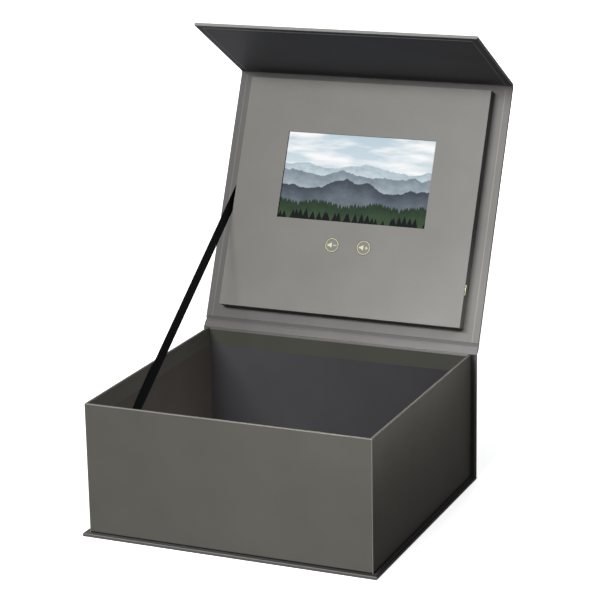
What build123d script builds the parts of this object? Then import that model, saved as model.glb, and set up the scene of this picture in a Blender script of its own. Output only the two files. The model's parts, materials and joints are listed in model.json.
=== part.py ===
from build123d import *
import os
from math import cos, radians, sin, sqrt

# Every length is in millimetres and every angle in degrees.
# The origin is at the middle of the base's underside: +X right, +Y to the spine, +Z up.

# Paper and board
PAPER = 0.25  # covering and lining paper
CASE_BOARD = 2.5  # greyboard of the base, spine, lid and flap
TRAY_BOARD = 2.0  # greyboard of the tray and of the panel's face
TURN_IN = 15.0  # tray paper turned under the tray's floor
RIM_TURN = 17.5  # tray paper turned down inside the rim
LID_BARE = 6.5  # cover that shows round the lining of the lid and the flap
BASE_BARE = 1.5  # cover that shows round the lining of the base and the spine
EDGE_ROUND = 0.4  # rounding of the paper where it turns a corner

# Tray and case
TRAY_WIDTH = 275.0
TRAY_DEPTH = 256.0
TRAY_HEIGHT = 122.5  # above the base
SIDE_LIP = 5.0  # case beyond the tray on each side
FRONT_LIP = 5.0  # base in front of the tray

# Hinges
LID_ANGLE = 113.4  # from the closed lid to the open one
LID_CLEARANCE = 0.3  # closed lid above the rim
HINGE_SETBACK = 0.5  # lid axis in front of the spine's back
LID_GAP = 10.0  # lid axis to the lid's board
FLAP_FOLD = 83.1  # flap folded down from the plane of the lid
FOLD_GAP = 3.0  # flap axis to the boards on its two sides
FLAP_CLEARANCE = 0.5  # closed flap in front of the tray
TIP_CLEARANCE = 0.3  # closed flap above the base
HINGE_BOW = 1.2  # slack of the outer hinge paper
HINGE_LEAN = 4.9  # inner hinge paper, up and back from the rim to its first fold
GROOVE_REACH = 2.1  # from that fold back to the bottom of the groove
RIM_OVERHANG = 1.5  # inner hinge paper turned down inside the rear rim

# Display panel on the lid
PANEL_SIDE_MARGIN = 17.0
PANEL_LOW_MARGIN = 11.5
PANEL_TOP_MARGIN = 4.5
PANEL_THICKNESS = 11.0
FRAME_WIDTH = 12.0
FRAME_GAP = 0.1  # between neighbouring frame strips

# Display module, a 7 inch panel
VIEW_WIDTH = 154.0
VIEW_HEIGHT = 86.0
SIDE_BORDER = 5.5  # module beyond the view at its sides
END_BORDER = 7.0  # module beyond the view above and below
DISPLAY_THICKNESS = 5.7
VIEW_RISE = 134.5  # from the panel's lower edge to the middle of the view
BEZEL_STEEL = 0.4
BEZEL_DEPTH = 4.0
BEZEL_OVERLAP = 1.5  # steel hidden behind the face board round the view
GLASS = 1.6
TAPE = 0.25
MODULE_GAP = 0.2  # glass and backlight inside the steel frame
CLIP_LENGTH = 9.0
CLIP_HEIGHT = 1.0
CLIP_PITCH = 33.0
CLIP_COUNT = 5
PAD_WIDTH = 12.0
PAD_LENGTH = 50.0
PAD_PITCH = 50.0

# Buttons
BUTTON_RADIUS = 7.0
BUTTON_CLEARANCE = 0.3
BUTTON_SPACING = 33.0
BUTTON_OFFSET = 1.5  # middle of the pair from the middle of the panel
BUTTON_DROP = 16.4  # below the display module
FLANGE_WIDTH = 2.0
FLANGE_THICKNESS = 0.6
SWITCH_SIZE = 6.0
SWITCH_HEIGHT = 3.5
PLUNGER_RADIUS = 1.7
PLUNGER_PROUD = 0.8
PLUNGER_CLEARANCE = 0.15
PLUNGER_TRAVEL = 0.8
PCB = 1.2
BUTTON_BOARD_MARGIN = 6.5  # button board beyond the switches' outer sides
BUTTON_BOARD_WIDTH = 12.0
BUTTON_PAD_INSET = 5.0  # foam under the button board, in from the board's ends
BUTTON_PAD_WIDTH = 7.0

# Driver board and its parts
SOCKET_WIDTH = 7.8
SOCKET_HEIGHT = 2.8
SOCKET_LENGTH = 6.0
SOCKET_SHELL = 0.35
SOCKET_CHAMFER = 1.1
SOCKET_DEPTH = 2.3  # from the panel's face to the socket's upper side
SOCKET_ON_BOARD = 3.0  # length of the socket that lies on the board's tongue
SOCKET_PROUD = 0.5  # from the panel's side to the socket's mouth
SOCKET_LIP = 1.0  # flange round the mouth
LIP_THICKNESS = 0.35
SOCKET_RISE = 36.6  # from the panel's lower edge to the socket
SOCKET_SLOT_GAP = 0.6
BLADE_WIDTH = 3.9  # contact tongue inside the socket
BLADE_THICKNESS = 0.7
BLADE_LENGTH = 4.8
BLADE_RISE = 1.7
BOARD_LENGTH = 64.0
BOARD_WIDTH = 44.0
BOARD_MARGIN = 1.5  # board to the frame
TONGUE_WIDTH = 16.0
FLEX = 0.2
FLEX_WIDTH = 22.0
FLEX_BEND = 1.5
CONNECTOR_HEIGHT = 1.5
CONNECTOR_DEPTH = 5.0
CONNECTOR_WALL = 2.0  # connector beyond the flex at each side
SCREW_RADIUS = 1.0
SCREW_MARGIN = 3.0  # screw hole to the board's edges
CORNER_ROUND = 0.6
PROCESSOR = (14.0, 14.0, 1.2)  # length, width and height of each part
MEMORY = (9.0, 6.0, 1.0)
AMPLIFIER = (8.0, 5.0, 1.0)
COIL = (7.0, 7.0, 2.4)
CAPACITOR = (2.0, 1.25, 0.8)
CAPACITOR_PITCH = 4.5
CAPACITOR_COUNT = 7
PART_COLUMNS = (-16.0, 4.0, 14.0)  # from the middle of the board
PART_ROWS = (-11.5, -3.0, 7.0)
SENSOR = (1.4, 3.0, 1.1)  # magnet sensor: across, along and height
SENSOR_PLACE = 4.5  # beyond the board, on its tongue
BOARD_PAD_WIDTH = 10.0
BOARD_PAD_LENGTH = 15.0
BOARD_PAD_PITCH = 32.0

# Battery and speaker
BATTERY_LENGTH = 78.0
BATTERY_WIDTH = 42.0
BATTERY_THICKNESS = 5.0
BATTERY_TERRACE = 5.0
TERRACE_THICKNESS = 1.6
TERRACE_INSET = 2.5
BATTERY_ROUND = 1.6
BATTERY_MARGIN = 4.0
SPEAKER_RADIUS = 15.0
SPEAKER_DEPTH = 5.0
SPEAKER_FLOOR = 1.2
SPEAKER_LIP = 2.0
SPEAKER_GAP = 12.0  # speaker to the driver board
DIAPHRAGM_HEIGHT = 2.3
WIRE_RADIUS = 0.6
WIRE_SIDES = 4
WIRE_PITCH = 2.5  # between the two wires of a pair
WIRE_BEND = 3.0
WIRE_TURN_UP = 1.2  # bend where a wire turns up to its board
WIRE_MARGIN = 2.0  # wire to the board's edge
WIRE_LEAD = 2.4  # between the battery's end and its wires' jackets
WIRE_PLUG = 8.0  # from the driver board's left edge to its wires
WIRE_WAY = 8.0  # from the battery to the wires that run past it

# Magnets
MAGNET_RADIUS = 6.0
MAGNET_FIT = 0.1
MAGNET_SPACING = 200.0
MAGNET_MARGIN = 22.0  # from the flap's free edge
MAGNET_FLOOR = 0.5  # flap board left behind a magnet
TRIGGER_RADIUS = 4.0
TRIGGER_DROP = 5.5  # below the rim

# Ribbon stay
RIBBON_WIDTH = 12.0
RIBBON = 0.3
RIBBON_TWIST = 7.6
RIBBON_TAB = 22.0
RIBBON_LEAD = 15.0  # stretch in which the ribbon turns away from the tray's wall
RIBBON_OFF_WALL = 1.7
RIBBON_LOW = (-35.7, 92.0)  # where the straight stretch starts, in Y and Z
RIBBON_SIDE = 2.5  # from the panel's side to the ribbon's upper end
RIBBON_RISE = 138.2  # from the lid axis to the ribbon's upper end
RIBBON_SLOT = 0.6
RIBBON_SLOT_MARGIN = 24.0  # slot beyond the ribbon's place, up and down

TINY = 1e-3

# Sizes that follow from those above
CASE = CASE_BOARD + 2 * PAPER
WALL = TRAY_BOARD + 2 * PAPER
CASE_WIDTH = TRAY_WIDTH + 2 * SIDE_LIP
BASE_DEPTH = FRONT_LIP + TRAY_DEPTH + CASE
BASE_BACK = BASE_DEPTH / 2
TRAY_FRONT = FRONT_LIP - BASE_DEPTH / 2
TRAY_BACK = TRAY_FRONT + TRAY_DEPTH
TRAY_FLOOR = CASE + PAPER + TRAY_BOARD
RIM = CASE + TRAY_HEIGHT
HINGE_Y = BASE_BACK - HINGE_SETBACK
HINGE_Z = RIM + LID_CLEARANCE
LID_LENGTH = HINGE_Y - TRAY_FRONT + FLAP_CLEARANCE
LID_SPAN = (LID_GAP, LID_LENGTH - FOLD_GAP)
FLAP_LENGTH = HINGE_Z - CASE - TIP_CLEARANCE
FLAP_SPAN = (FOLD_GAP, FLAP_LENGTH)
MAGNET_PLACE = FLAP_LENGTH - MAGNET_MARGIN

PANEL_WIDTH = CASE_WIDTH - 2 * PANEL_SIDE_MARGIN
PANEL_LOW = LID_SPAN[0] + PANEL_LOW_MARGIN
PANEL_SPAN = (PANEL_LOW, LID_SPAN[1] - PANEL_TOP_MARGIN)
FACE_BACK = PANEL_THICKNESS - PAPER - TRAY_BOARD
VIEW_PLACE = PANEL_LOW + VIEW_RISE
DISPLAY_WIDTH = VIEW_WIDTH + 2 * SIDE_BORDER
DISPLAY_HEIGHT = VIEW_HEIGHT + 2 * END_BORDER
DISPLAY_FRONT = FACE_BACK - TAPE
DISPLAY_BACK = DISPLAY_FRONT - DISPLAY_THICKNESS
DISPLAY_LOW = VIEW_PLACE - DISPLAY_HEIGHT / 2
GLASS_FRONT = DISPLAY_FRONT - BEZEL_STEEL
BUTTON_PLACE = DISPLAY_LOW - BUTTON_DROP
BUTTONS = {
    "volume_down": BUTTON_OFFSET - BUTTON_SPACING / 2,
    "volume_up": BUTTON_OFFSET + BUTTON_SPACING / 2,
}
HOLE_RADIUS = BUTTON_RADIUS + BUTTON_CLEARANCE
FLANGE_FRONT = FACE_BACK - BUTTON_CLEARANCE
FLANGE_BACK = FLANGE_FRONT - FLANGE_THICKNESS
SWITCH_TOP = FLANGE_BACK - PLUNGER_PROUD
BUTTON_BOARD_TOP = SWITCH_TOP - SWITCH_HEIGHT
BUTTON_BOARD_LENGTH = BUTTON_SPACING + SWITCH_SIZE + 2 * BUTTON_BOARD_MARGIN
BOARD_TOP = PANEL_THICKNESS - SOCKET_DEPTH - SOCKET_HEIGHT
SOCKET_PLACE = PANEL_LOW + SOCKET_RISE
BAY_SIDE = PANEL_WIDTH / 2 - PAPER - FRAME_WIDTH  # inside of the side strips
BAY_LOW = PANEL_LOW + PAPER + FRAME_WIDTH
BOARD_RIGHT = BAY_SIDE - BOARD_MARGIN
BOARD_LEFT = BOARD_RIGHT - BOARD_LENGTH
BOARD_MIDDLE = (BOARD_LEFT + BOARD_RIGHT) / 2
BOARD_LOW = BAY_LOW + BOARD_MARGIN
BOARD_HIGH = BOARD_LOW + BOARD_WIDTH
BOARD_CENTRE = (BOARD_LOW + BOARD_HIGH) / 2
SPEAKER_X = BOARD_LEFT - SPEAKER_RADIUS - SPEAKER_GAP
SPEAKER_PLACE = BAY_LOW + SPEAKER_RADIUS + BATTERY_MARGIN
BATTERY_LEFT = -BAY_SIDE + BATTERY_MARGIN
BATTERY_RIGHT = BATTERY_LEFT + BATTERY_LENGTH
BATTERY_MIDDLE = BAY_LOW + BATTERY_MARGIN + BATTERY_WIDTH / 2


def leaf_plane(height, angle, place):
    """Plane of a leaf's inner face: X across, Y away from its hinge, Z out of the face."""
    turned = radians(angle)
    return Plane(origin=(0, place, height), x_dir=(1, 0, 0), z_dir=(0, -sin(turned), -cos(turned)))


LID = leaf_plane(HINGE_Z, LID_ANGLE, HINGE_Y)
FOLD = LID.from_local_coords(Vector(0, LID_LENGTH, 0))
FLAP = leaf_plane(FOLD.Z, LID_ANGLE - FLAP_FOLD, FOLD.Y)
SPINE = leaf_plane(0, 90, TRAY_BACK)
BASE = Plane(origin=(0, 0, CASE))


def centred(width, inset=0.0):
    """Limits of a width about the middle, drawn in by the inset at both ends."""
    return (inset - width / 2, width / 2 - inset)


def about(middle, width):
    """Limits of a width about a place."""
    return (middle - width / 2, middle + width / 2)


def slab(plane, across, along, depth):
    """Straight-edged piece between three pairs of limits in the plane's own directions."""
    limits = (across, along, depth)
    middle = [(low + high) / 2 for low, high in limits]
    sizes = [high - low for low, high in limits]
    return plane.location * Pos(*middle) * Box(*sizes)


def post(plane, across, along, radius, depth):
    """Round piece or hole that stands on the plane."""
    low, high = depth
    return plane.location * Pos(across, along, (low + high) / 2) * Cylinder(radius, high - low)


# Leaves of the case: greyboard, covering paper turned over its free edges, lining sheet


def leaf_board(plane, span, wraps):
    """Greyboard of one leaf; wraps says at which ends paper goes round it."""
    low, high = (place + way * wrapped * PAPER for place, way, wrapped in zip(span, (1, -1), wraps))
    return slab(plane, centred(CASE_WIDTH, PAPER), (low, high), (PAPER - CASE, -PAPER))


def leaf_lining(plane, span, wraps, bare):
    """Lining sheet, level with the turned-in strips of the cover that show round it."""
    low, high = (place + way * wrapped * bare for place, way, wrapped in zip(span, (1, -1), wraps))
    return slab(plane, centred(CASE_WIDTH, bare), (low, high), (-PAPER, 0))


def leaf_cover(plane, span, wraps, bare):
    """Covering paper of one leaf, rounded where it turns the board's edges."""
    outside = slab(Plane.XY, centred(CASE_WIDTH), span, (-CASE, 0))
    turned = list(outside.edges().filter_by(Axis.Y))
    for wrapped, place in zip(wraps, span):
        if wrapped:
            end = outside.edges().filter_by_position(Axis.Y, place - TINY, place + TINY)
            turned += end.filter_by(Axis.X)
    outside = plane.location * fillet(turned, EDGE_ROUND)
    return outside - leaf_board(plane, span, wraps) - leaf_lining(plane, span, wraps, bare)


def magnet_discs(plane, along, radius, depth):
    """The two closing magnets, or the pockets for them."""
    left, right = centred(MAGNET_SPACING)
    return [post(plane, across, along, radius, depth) for across in (left, right)]


def flap_pieces():
    """Flap with two magnets let into its board from the inside."""
    wraps = (0, 1)
    depth = (MAGNET_FLOOR - CASE + PAPER, -PAPER)
    pockets = magnet_discs(FLAP, MAGNET_PLACE, MAGNET_RADIUS + MAGNET_FIT, depth)
    return {
        "flap_board": leaf_board(FLAP, FLAP_SPAN, wraps) - pockets,
        "flap_cover": leaf_cover(FLAP, FLAP_SPAN, wraps, LID_BARE),
        "flap_liner": leaf_lining(FLAP, FLAP_SPAN, wraps, LID_BARE),
        "flap_magnets": Compound(magnet_discs(FLAP, MAGNET_PLACE, MAGNET_RADIUS, depth)),
    }


# Tray


def tray_block(inset, height):
    """Block with the tray's outline drawn in by the inset."""
    return slab(Plane.XY, centred(TRAY_WIDTH, inset), (TRAY_FRONT + inset, TRAY_BACK - inset), height)


def tray_walls():
    """Front and back walls over the whole width, side walls between them."""
    stand = (TRAY_FLOOR, RIM - PAPER)
    front = (TRAY_FRONT + PAPER, TRAY_FRONT + PAPER + TRAY_BOARD)
    back = (TRAY_BACK - PAPER - TRAY_BOARD, TRAY_BACK - PAPER)
    side = (TRAY_WIDTH / 2 - PAPER - TRAY_BOARD, TRAY_WIDTH / 2 - PAPER)
    wide = centred(TRAY_WIDTH, PAPER)
    left = (-side[1], -side[0])
    between = (front[1], back[0])

    wall_face = Plane(origin=(0, front[1], 0), x_dir=(1, 0, 0), z_dir=(0, -1, 0))
    height = HINGE_Z - MAGNET_PLACE
    depth = (0, TRAY_BOARD)
    holes = magnet_discs(wall_face, height, MAGNET_RADIUS + MAGNET_FIT, depth)
    magnets = magnet_discs(wall_face, height, MAGNET_RADIUS, depth)

    side_face = Plane(origin=(side[0], 0, 0), x_dir=(0, 1, 0), z_dir=(1, 0, 0))
    trigger = (HINGE_Y - SOCKET_PLACE, RIM - TRIGGER_DROP)
    trigger_hole = post(side_face, *trigger, TRIGGER_RADIUS + MAGNET_FIT, depth)
    return {
        "tray_front_wall": slab(Plane.XY, wide, front, stand) - holes,
        "tray_back_wall": slab(Plane.XY, wide, back, stand),
        "tray_left_wall": slab(Plane.XY, left, between, stand),
        "tray_right_wall": slab(Plane.XY, side, between, stand) - trigger_hole,
        "tray_magnets": Compound(magnets),
        "trigger_magnet": post(side_face, *trigger, TRIGGER_RADIUS, depth),
    }


def tray_wrap():
    """Outer paper: up the walls, over the rim and down inside, and under the floor."""
    inside = WALL - PAPER
    turned_down = (RIM - RIM_TURN, RIM - PAPER)
    skin = tray_block(0, (CASE, RIM)) - tray_block(PAPER, (CASE + PAPER, RIM - PAPER))
    skin -= tray_block(WALL, (RIM - PAPER, RIM))
    skin += tray_block(inside, turned_down) - tray_block(WALL, turned_down)
    skin -= tray_block(TURN_IN, (CASE, CASE + PAPER))
    corners = skin.edges().filter_by(Axis.Z).filter_by(
        lambda edge: abs(abs(edge.center().X) - TRAY_WIDTH / 2) < TINY
    )
    rim = skin.edges().filter_by_position(Axis.Z, RIM - TINY, RIM + TINY)
    return fillet([*corners, *rim], EDGE_ROUND)


def tray_lining():
    """Lining paper over the floor and up the walls to the turned-down outer paper."""
    top = RIM - RIM_TURN
    return tray_block(WALL - PAPER, (TRAY_FLOOR, top)) - tray_block(WALL, (TRAY_FLOOR + PAPER, top))


# Hinge papers, drawn as profiles in the YZ plane


def side_point(plane, along, depth):
    """A point of a leaf as seen from the side, in Y and Z."""
    point = plane.from_local_coords(Vector(0, along, depth))
    return Vector(point.Y, point.Z)


def side_strip(outline):
    """A strip as wide as the case, from its outline seen from the side."""
    return extrude(Plane.YZ * make_face(outline), CASE_WIDTH / 2, both=True)


def lid_hinge_paper():
    """Outer hinge paper from the spine's cover to the lid's, with a little slack."""
    outer = [Vector(BASE_BACK, RIM), side_point(LID, LID_GAP, -CASE)]
    inner = [Vector(BASE_BACK - PAPER, RIM), side_point(LID, LID_GAP, PAPER - CASE)]
    chord = (outer[1] - outer[0]).normalized()
    sideways = Vector(chord.Y, -chord.X)
    outer_middle = (outer[0] + outer[1]) / 2 + sideways * HINGE_BOW
    inner_middle = outer_middle - sideways * PAPER
    outline = [
        ThreePointArc(outer[0], outer_middle, outer[1]),
        Line(outer[1], inner[1]),
        ThreePointArc(inner[1], inner_middle, inner[0]),
        Line(inner[0], outer[0]),
    ]
    return side_strip(outline)


def lid_hinge_liner():
    """Inner hinge paper: over the rear rim, back to a fold, down into the groove, up to the lid."""
    half = PAPER / 2
    lift = RIM + half
    fold = Vector(TRAY_BACK + HINGE_LEAN, RIM + HINGE_LEAN)
    groove = fold + Vector(GROOVE_REACH, PAPER)
    path = Polyline(
        (TRAY_BACK, lift),
        (TRAY_BACK + CASE / 4, lift),
        fold,
        groove,
        side_point(LID, LID_GAP - PAPER, -half),
    )
    inside = TRAY_BACK - WALL
    on_rim = slab(Plane.XY, centred(TRAY_WIDTH), (inside, TRAY_BACK), (RIM, RIM + PAPER))
    turned_down = slab(
        Plane.XY, centred(TRAY_WIDTH, WALL), (inside - PAPER, inside), (RIM - RIM_OVERHANG, RIM + PAPER)
    )
    return extrude(Plane.YZ * trace(path, PAPER), CASE_WIDTH / 2, both=True) + on_rim + turned_down


def fold_strip(depth):
    """Paper round the fold between lid and flap; depth gives its outer and inner sides."""
    along_lid = side_point(LID, 1, 0) - side_point(LID, 0, 0)
    starts = [side_point(LID, LID_SPAN[1], side) for side in depth]
    ends = [side_point(FLAP, FOLD_GAP, side) for side in depth]
    outline = [
        TangentArc(starts[0], ends[0], tangent=along_lid),
        Line(ends[0], ends[1]),
        TangentArc(starts[1], ends[1], tangent=along_lid),
        Line(starts[1], starts[0]),
    ]
    return side_strip(outline)


# Ribbon stay


def ribbon_stay():
    """Woven ribbon: a tab glued to the tray's wall, a tight run, and a tab under the panel."""
    wall = TRAY_WIDTH / 2 - WALL
    low = Vector(RIBBON_OFF_WALL - wall, *RIBBON_LOW)
    high = LID.from_local_coords(Vector(-PANEL_WIDTH / 2 - RIBBON_SIDE, RIBBON_RISE, 0))
    run = (high - low).normalized()
    on_wall = Vector(0, run.Y, run.Z).normalized()
    foot = Vector(RIBBON / 2 - wall, low.Y, low.Z) - on_wall * RIBBON_LEAD
    flat = Plane(origin=foot, x_dir=Vector(1, 0, 0).cross(on_wall), z_dir=on_wall)
    straight = Plane(origin=low, x_dir=Vector(1, 0, 0).cross(run), z_dir=run)
    turned = Plane(straight.location * Rot(0, 0, -RIBBON_TWIST))
    section = Rectangle(RIBBON_WIDTH, RIBBON)
    stay = extrude(flat * section, -RIBBON_TAB)
    stay += loft([flat * section, turned * section], ruled=True)

    # The run is cut off by the lid, and the tab beyond that crease lies on the lid.
    reach = (high - low).length + RIBBON_WIDTH * 2
    tight = extrude(turned * section, reach)
    behind = slab(LID, centred(CASE_WIDTH), (0, LID_LENGTH), (-2 * CASE - RIBBON_WIDTH, 0))
    stay += tight - behind
    crease = []
    for edge in (-1, 1):
        start = LID.to_local_coords(low + turned.x_dir * (edge * RIBBON_WIDTH / 2))
        step = LID.to_local_coords(low + run) - LID.to_local_coords(low)
        crease.append(start - step * (start.Z / step.Z))
    line = (crease[1] - crease[0]).normalized()
    share = line.dot(step)
    beyond = line * share + Vector(abs(line.Y), -line.X * line.Y / abs(line.Y)) * sqrt(1 - share**2)
    corners = [crease[0], crease[1], crease[1] + beyond * RIBBON_TAB, crease[0] + beyond * RIBBON_TAB]
    tab = make_face(Polyline(*[Vector(point.X, point.Y) for point in corners], close=True))
    return stay + extrude(LID * tab, RIBBON, dir=LID.z_dir)


def ribbon_slot():
    """Rebate in the panel's left edge for the ribbon's upper tab."""
    low = RIBBON_RISE - RIBBON_SLOT_MARGIN
    high = RIBBON_RISE + RIBBON_TAB + RIBBON_SLOT_MARGIN
    outer = -PANEL_WIDTH / 2
    return slab(LID, (outer, outer + PAPER + FRAME_WIDTH), (low, high), (0, RIBBON_SLOT))


# Panel


def panel_block(inset, depth):
    """Block with the panel's outline drawn in by the inset."""
    low, high = PANEL_SPAN
    return slab(LID, centred(PANEL_WIDTH, inset), (low + inset, high - inset), depth)


def view_block(margin, depth):
    """Block in the place of the display's view, larger by the margin."""
    return slab(LID, centred(VIEW_WIDTH, -margin), about(VIEW_PLACE, VIEW_HEIGHT + 2 * margin), depth)


def button_holes():
    """Two round holes through the panel's face."""
    depth = (FACE_BACK, PANEL_THICKNESS)
    return [post(LID, across, BUTTON_PLACE, HOLE_RADIUS, depth) for across in BUTTONS.values()]


def socket_slot():
    """Slot through the panel's right edge for the tongue of the driver board and its socket."""
    outer = PANEL_WIDTH / 2
    depth = (BOARD_TOP - PCB - SOCKET_SLOT_GAP, BOARD_TOP + SOCKET_HEIGHT + SOCKET_SLOT_GAP)
    width = max(TONGUE_WIDTH, SOCKET_WIDTH) + 2 * SOCKET_SLOT_GAP
    inner = slab(LID, (outer - PAPER - FRAME_WIDTH, outer - PAPER), about(SOCKET_PLACE, width), depth)
    mouth_depth = (BOARD_TOP - SOCKET_SLOT_GAP / 2, BOARD_TOP + SOCKET_HEIGHT + SOCKET_SLOT_GAP / 2)
    mouth = about(SOCKET_PLACE, SOCKET_WIDTH + SOCKET_SLOT_GAP)
    return inner, slab(LID, (outer - PAPER, outer), mouth, mouth_depth)


def panel_wrap():
    """Paper over the panel's face and down its sides, turned into the display's window."""
    low, high = PANEL_SPAN
    outside = slab(Plane.XY, centred(PANEL_WIDTH), (low, high), (0, PANEL_THICKNESS))
    upright = outside.edges().filter_by(Axis.Z)
    face = outside.edges().filter_by_position(Axis.Z, PANEL_THICKNESS - TINY, PANEL_THICKNESS + TINY)
    outside = LID.location * fillet([*upright, *face], EDGE_ROUND)
    hollow = panel_block(PAPER, (0, PANEL_THICKNESS - PAPER))
    hollow -= view_block(PAPER, (FACE_BACK, PANEL_THICKNESS - PAPER))
    sheet = outside - hollow - view_block(0, (0, PANEL_THICKNESS)) - button_holes()
    return sheet - socket_slot()[1] - ribbon_slot()


def panel_frame():
    """Four board strips round the bay, notched for the socket and the ribbon."""
    low, high = PANEL_SPAN
    depth = (0, FACE_BACK)
    wide = centred(PANEL_WIDTH, PAPER)
    right = (BAY_SIDE, wide[1])
    left = (wide[0], -BAY_SIDE)
    lower = (low + PAPER, BAY_LOW)
    upper = (high - PAPER - FRAME_WIDTH, high - PAPER)
    between = (lower[1] + FRAME_GAP, upper[0] - FRAME_GAP)
    return {
        "panel_frame_bottom": slab(LID, wide, lower, depth),
        "panel_frame_top": slab(LID, wide, upper, depth),
        "panel_frame_left": slab(LID, left, between, depth) - ribbon_slot(),
        "panel_frame_right": slab(LID, right, between, depth) - socket_slot()[0],
    }


def panel_face_board():
    """Board behind the paper face, with the display's window and the button holes."""
    face = panel_block(PAPER, (FACE_BACK, PANEL_THICKNESS - PAPER))
    return face - view_block(PAPER, (FACE_BACK, PANEL_THICKNESS)) - button_holes()


# Display module


def module_block(inset, depth):
    """Block with the display module's outline drawn in by the inset."""
    along = about(VIEW_PLACE, DISPLAY_HEIGHT - 2 * inset)
    return slab(LID, centred(DISPLAY_WIDTH, inset), along, depth)


def display_bezel():
    """Pressed steel frame with a turned-down skirt and clip windows along its long sides."""
    back = DISPLAY_FRONT - BEZEL_DEPTH
    along = about(VIEW_PLACE, DISPLAY_HEIGHT)
    outside = slab(Plane.XY, centred(DISPLAY_WIDTH), along, (back, DISPLAY_FRONT))
    outside = LID.location * fillet(outside.edges().filter_by(Axis.Z), 2 * BEZEL_STEEL)
    bezel = outside - module_block(BEZEL_STEEL, (back, GLASS_FRONT))
    bezel -= view_block(BEZEL_OVERLAP, (GLASS_FRONT, DISPLAY_FRONT))
    clips = GridLocations(CLIP_PITCH, 0, CLIP_COUNT, 1)
    middle = (back + GLASS_FRONT) / 2
    windows = LID.location * Pos(0, VIEW_PLACE, middle) * clips
    return bezel - [place * Box(CLIP_LENGTH, 2 * DISPLAY_HEIGHT, CLIP_HEIGHT) for place in windows]


def display_pieces():
    """Liquid crystal panel, its steel frame, backlight, front tape, rear pads and flex."""
    inner = BEZEL_STEEL + MODULE_GAP
    glass_back = GLASS_FRONT - GLASS
    tape = module_block(BEZEL_STEEL, (DISPLAY_FRONT, FACE_BACK))
    pad = Box(PAD_WIDTH, PAD_LENGTH, DISPLAY_BACK)
    under_module = LID.location * Pos(0, VIEW_PLACE, DISPLAY_BACK / 2)
    pair = GridLocations(PAD_PITCH, 0, 2, 1)
    return {
        "display_bezel": display_bezel(),
        "display_glass": module_block(inner, (glass_back, GLASS_FRONT)),
        "display_backlight": module_block(inner, (DISPLAY_BACK, glass_back)),
        "display_tape": tape - view_block(BEZEL_OVERLAP, (DISPLAY_FRONT, FACE_BACK)),
        "display_pads": Compound([under_module * place * pad for place in pair]),
    }


def display_flex():
    """Flat flex from under the backlight, up in an S to its connector on the driver board."""
    under = DISPLAY_BACK - FLEX / 2
    level = BOARD_TOP + CONNECTOR_HEIGHT / 2
    start = DISPLAY_LOW + 4 * FLEX_BEND
    end = connector_edge()
    first = DISPLAY_LOW - FLEX_BEND
    last = end + 2 * FLEX_BEND
    path = FilletPolyline((start, under), (first, under), (last, level), (end, level), radius=FLEX_BEND)
    side = Plane(origin=LID.from_local_coords(Vector(BOARD_MIDDLE, 0, 0)), x_dir=LID.y_dir, z_dir=(1, 0, 0))
    return extrude(side * trace(path, FLEX), FLEX_WIDTH / 2, both=True)


def connector_edge():
    """Mouth of the flex connector, near the driver board's upper edge."""
    return BOARD_HIGH - BOARD_MARGIN


# Driver board


def driver_board():
    """Circuit board with a tongue that carries the charging socket through the panel's frame."""
    tongue_end = PANEL_WIDTH / 2 + SOCKET_PROUD - SOCKET_LENGTH + SOCKET_ON_BOARD
    centre = Pos(BOARD_MIDDLE, BOARD_CENTRE)
    tongue = Pos((BOARD_RIGHT + tongue_end) / 2, SOCKET_PLACE)
    outline = centre * Rectangle(BOARD_LENGTH, BOARD_WIDTH)
    outline += tongue * Rectangle(tongue_end - BOARD_RIGHT, TONGUE_WIDTH)
    outline = fillet(outline.vertices(), CORNER_ROUND)
    holes = GridLocations(BOARD_LENGTH - 2 * SCREW_MARGIN, BOARD_WIDTH - 2 * SCREW_MARGIN, 2, 2)
    outline -= [centre * place * Circle(SCREW_RADIUS) for place in holes]
    return LID.location * Pos(0, 0, BOARD_TOP - PCB) * extrude(outline, PCB)


def usb_socket():
    """Folded steel shell of a micro charging socket, with its flange and its contact tongue."""
    half = SOCKET_WIDTH / 2
    step = SOCKET_CHAMFER

    def shell_outline(inset):
        wide = half - inset
        top = SOCKET_HEIGHT - inset
        return make_face(Polyline(
            (-wide, top), (wide, top), (wide, inset + step), (wide - step, inset), (step - wide, inset),
            (-wide, inset + step), close=True,
        ))

    mouth = LID.from_local_coords(Vector(PANEL_WIDTH / 2 + SOCKET_PROUD, SOCKET_PLACE, BOARD_TOP))
    face = Plane(origin=mouth, x_dir=LID.y_dir, z_dir=(1, 0, 0))
    shell = extrude(face * shell_outline(0), -SOCKET_LENGTH)
    shell += extrude(face * shell_outline(-SOCKET_LIP), -LIP_THICKNESS)
    shell -= extrude(face * shell_outline(SOCKET_SHELL), SOCKET_SHELL - SOCKET_LENGTH)
    blade = face * Pos(0, BLADE_RISE, -SOCKET_LENGTH) * Rectangle(BLADE_WIDTH, BLADE_THICKNESS)
    return shell + extrude(blade, BLADE_LENGTH)


def board_parts():
    """Processor, memory, amplifier, coil and rows of capacitors on the driver board."""
    left, middle, right = PART_COLUMNS
    low, row, high = PART_ROWS
    on_board = LID.location * Pos(BOARD_MIDDLE, BOARD_CENTRE, BOARD_TOP)
    places = {PROCESSOR: (left, high), MEMORY: (middle, high), AMPLIFIER: (left, low), COIL: (right, low)}
    soldered = [on_board * Pos(*place, size[2] / 2) * Box(*size) for size, place in places.items()]
    line = GridLocations(CAPACITOR_PITCH, 0, CAPACITOR_COUNT, 1)
    capacitors = on_board * Pos(0, row, CAPACITOR[2] / 2) * line
    return Compound(soldered + [place * Box(*CAPACITOR) for place in capacitors])


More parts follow.
